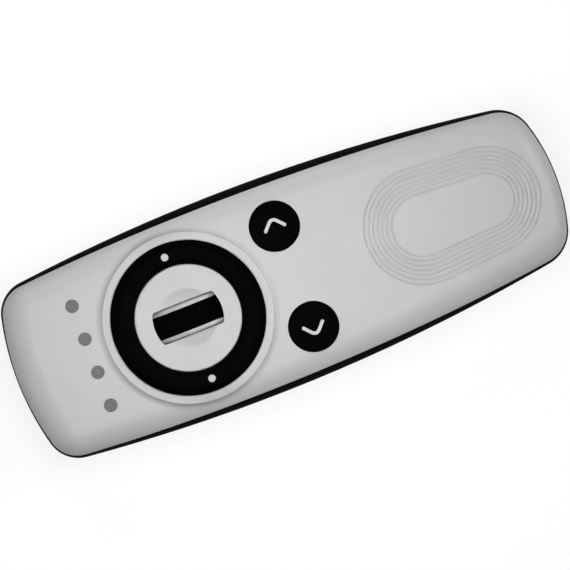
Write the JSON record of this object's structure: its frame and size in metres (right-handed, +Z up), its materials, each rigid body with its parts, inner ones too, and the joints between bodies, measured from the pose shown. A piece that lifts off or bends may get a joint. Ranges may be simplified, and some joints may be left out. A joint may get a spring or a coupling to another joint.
{
  "type": "smart remote control",
  "caption": "Pillow-shaped smart lighting remote with a press ring round a scroll wheel, arrow buttons, lamp windows and an oval-grooved grip over a sliding battery cover.",
  "frame": {"origin": "centre of the bounding box's underside, on the surface that the remote lies on", "axes": "+Y along the length towards the end with the lamp windows, +X to the right as it is held with that end away from the user, +Z up out of the face with the keys"},
  "size_m": [0.0508, 0.14, 0.0234],
  "materials": {
    "face_plastic": "satin moulded",
    "base_plastic": "fine satin moulded",
    "ring_plastic": "semi-gloss moulded",
    "button_plastic": "semi-gloss moulded",
    "mark_plastic": "moulded white",
    "disc_plastic": "satin moulded",
    "lamp_window": "smoked grey, polished",
    "wheel_shoulder": "satin silver",
    "wheel_rubber": "matt moulded",
    "frame_plastic": "plain moulded",
    "axle_steel": "ground",
    "board_laminate": "solder resist",
    "chip_resin": "moulded",
    "shield_metal": "tinned",
    "lamp_resin": "moulded",
    "dome_silicone": "translucent moulded",
    "contact_metal": "nickel plated",
    "battery_jacket": "printed sleeve, plain",
    "screw_steel": "zinc plated"
  },
  "bodies": {
    "housing": {"top_shell": "face_plastic", "bottom_shell": "base_plastic", "right_battery_cell": "battery_jacket", "left_battery_cell": "battery_jacket", "right_battery_contact": "contact_metal", "left_battery_contact": "contact_metal", "bridge_battery_contact": "contact_metal", "circuit_board": "board_laminate", "radio_module": "shield_metal", "control_chip": "chip_resin", "chip_antenna": "lamp_resin", "wheel_sensor": "chip_resin", "inner_right_lamp": "lamp_resin", "inner_left_lamp": "lamp_resin", "outer_right_lamp": "lamp_resin", "outer_left_lamp": "lamp_resin", "right_ring_dome": "dome_silicone", "left_ring_dome": "dome_silicone", "right_arrow_dome": "dome_silicone", "left_arrow_dome": "dome_silicone", "right_wheel_dome": "dome_silicone", "left_wheel_dome": "dome_silicone", "light_guide": "lamp_window", "centre_disc": "disc_plastic", "control_carrier": "frame_plastic", "shell_screw_1": "screw_steel", "shell_screw_2": "screw_steel", "shell_screw_3": "screw_steel", "shell_screw_4": "screw_steel", "board_screw_1": "screw_steel", "board_screw_2": "screw_steel", "board_screw_3": "screw_steel", "board_screw_4": "screw_steel"},
    "battery_cover": {"battery_cover": "base_plastic"},
    "press_ring": {"press_ring": "ring_plastic", "right_ring_dot": "mark_plastic", "left_ring_dot": "mark_plastic"},
    "wheel_cradle": {"wheel_cradle": "frame_plastic", "wheel_axle": "axle_steel"},
    "scroll_wheel": {"wheel_rim": "wheel_shoulder", "wheel_tread": "wheel_rubber"},
    "right_arrow": {"right_arrow_button": "button_plastic"},
    "left_arrow": {"left_arrow_button": "button_plastic"}
  },
  "joints": [
    {"name": "battery_cover_slide", "type": "slide", "parent": "housing", "child": "battery_cover", "axis": [0, -1, 0], "range_m": [0, 0.06]},
    {"name": "press_ring_rock", "type": "hinge", "parent": "housing", "child": "press_ring", "pos_m": [0, 0.0257, 0.0172], "axis": [0, 1, 0], "range_deg": [-2.2, 2.2], "stiffness_Nm_per_rad": 1.2, "deforming": ["right_ring_dome", "left_ring_dome"]},
    {"name": "wheel_press", "type": "slide", "parent": "housing", "child": "wheel_cradle", "axis": [0, 0, -1], "range_m": [0, 0.0005], "stiffness_N_per_m": 4000, "deforming": ["right_wheel_dome", "left_wheel_dome"]},
    {"name": "wheel_spin", "type": "hinge", "parent": "wheel_cradle", "child": "scroll_wheel", "pos_m": [0, 0.0257, 0.0134], "axis": [1, 0, 0], "continuous": true},
    {"name": "right_arrow_press", "type": "slide", "parent": "housing", "child": "right_arrow", "axis": [0, 0, -1], "range_m": [0, 0.0008], "stiffness_N_per_m": 2500, "deforming": ["right_arrow_dome"]},
    {"name": "left_arrow_press", "type": "slide", "parent": "housing", "child": "left_arrow", "axis": [0, 0, -1], "range_m": [0, 0.0008], "stiffness_N_per_m": 2500, "deforming": ["left_arrow_dome"]}
  ]
}
